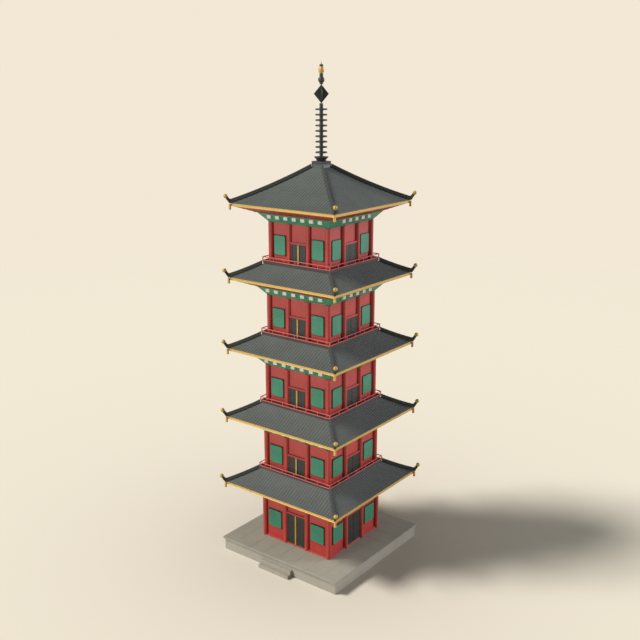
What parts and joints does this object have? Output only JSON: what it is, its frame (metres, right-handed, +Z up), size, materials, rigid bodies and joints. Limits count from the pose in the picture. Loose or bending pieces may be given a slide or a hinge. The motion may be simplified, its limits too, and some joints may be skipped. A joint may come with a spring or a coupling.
{
  "type": "five-storey timber pagoda",
  "caption": "Square timber pagoda with stacked tiled roofs, railed balconies, hinged ground-floor doors and a ringed spire on a stone platform.",
  "frame": {"origin": "centre of the square platform's underside, on the ground", "axes": "+Z up along the tower's axis, -Y the front with the steps, +X the right side"},
  "size_m": [10.95, 11.255, 35.963],
  "materials": {
    "stone": "dressed pale stone, matt",
    "vermilion": "vermilion painted timber, low sheen",
    "green_paint": "green painted timber, low sheen",
    "dark_timber": "dark stained timber",
    "balcony_paint": "red painted railing timber",
    "roof_tile": "fired grey-green clay tile, matt",
    "gilding": "gilt metal, satin",
    "bronze": "dark patinated bronze"
  },
  "bodies": {
    "tower": {"back_wall": "vermilion", "brackets_1": "green_paint", "brackets_2": "green_paint", "brackets_3": "green_paint", "brackets_4": "green_paint", "brackets_5": "green_paint", "eave_trim_1": "gilding", "eave_trim_2": "gilding", "eave_trim_3": "gilding", "eave_trim_4": "gilding", "eave_trim_5": "gilding", "eaves_1": "vermilion", "eaves_2": "vermilion", "eaves_3": "vermilion", "eaves_4": "vermilion", "eaves_5": "vermilion", "front_wall_left": "vermilion", "front_wall_over_door": "vermilion", "front_wall_right": "vermilion", "ground_frame": "vermilion", "ground_windows": "green_paint", "left_wall": "vermilion", "lower_step": "stone", "platform_base": "stone", "platform_cap": "stone", "right_wall_back": "vermilion", "right_wall_front": "vermilion", "right_wall_over_door": "vermilion", "roof_1": "roof_tile", "roof_2": "roof_tile", "roof_3": "roof_tile", "roof_4": "roof_tile", "roof_5": "roof_tile", "spire_ball": "bronze", "spire_base": "bronze", "spire_bowl": "bronze", "spire_flame": "bronze", "spire_jewel": "gilding", "spire_rings": "bronze", "storey_2_balcony": "balcony_paint", "storey_2_walls": "vermilion", "storey_2_windows": "green_paint", "storey_3_balcony": "balcony_paint", "storey_3_walls": "vermilion", "storey_3_windows": "green_paint", "storey_4_balcony": "balcony_paint", "storey_4_walls": "vermilion", "storey_4_windows": "green_paint", "storey_5_balcony": "balcony_paint", "storey_5_walls": "vermilion", "storey_5_windows": "green_paint", "upper_step": "stone"},
    "front_leaf_left": {"front_door_left": "dark_timber"},
    "front_leaf_right": {"front_door_right": "dark_timber"},
    "side_leaf_front": {"right_door_front": "dark_timber"},
    "side_leaf_back": {"right_door_back": "dark_timber"}
  },
  "joints": [
    {"name": "front_leaf_left_hinge", "type": "hinge", "parent": "tower", "child": "front_leaf_left", "pos_m": [-0.7687, -3.075, 2.3195], "axis": [0, 0, -1], "range_deg": [0, 100]},
    {"name": "front_leaf_right_hinge", "type": "hinge", "parent": "tower", "child": "front_leaf_right", "pos_m": [0.7687, -3.075, 2.3195], "axis": [0, 0, 1], "range_deg": [0, 100]},
    {"name": "side_leaf_front_hinge", "type": "hinge", "parent": "tower", "child": "side_leaf_front", "pos_m": [3.075, -0.7687, 2.3195], "axis": [0, 0, -1], "range_deg": [0, 100]},
    {"name": "side_leaf_back_hinge", "type": "hinge", "parent": "tower", "child": "side_leaf_back", "pos_m": [3.075, 0.7687, 2.3195], "axis": [0, 0, 1], "range_deg": [0, 100]}
  ]
}
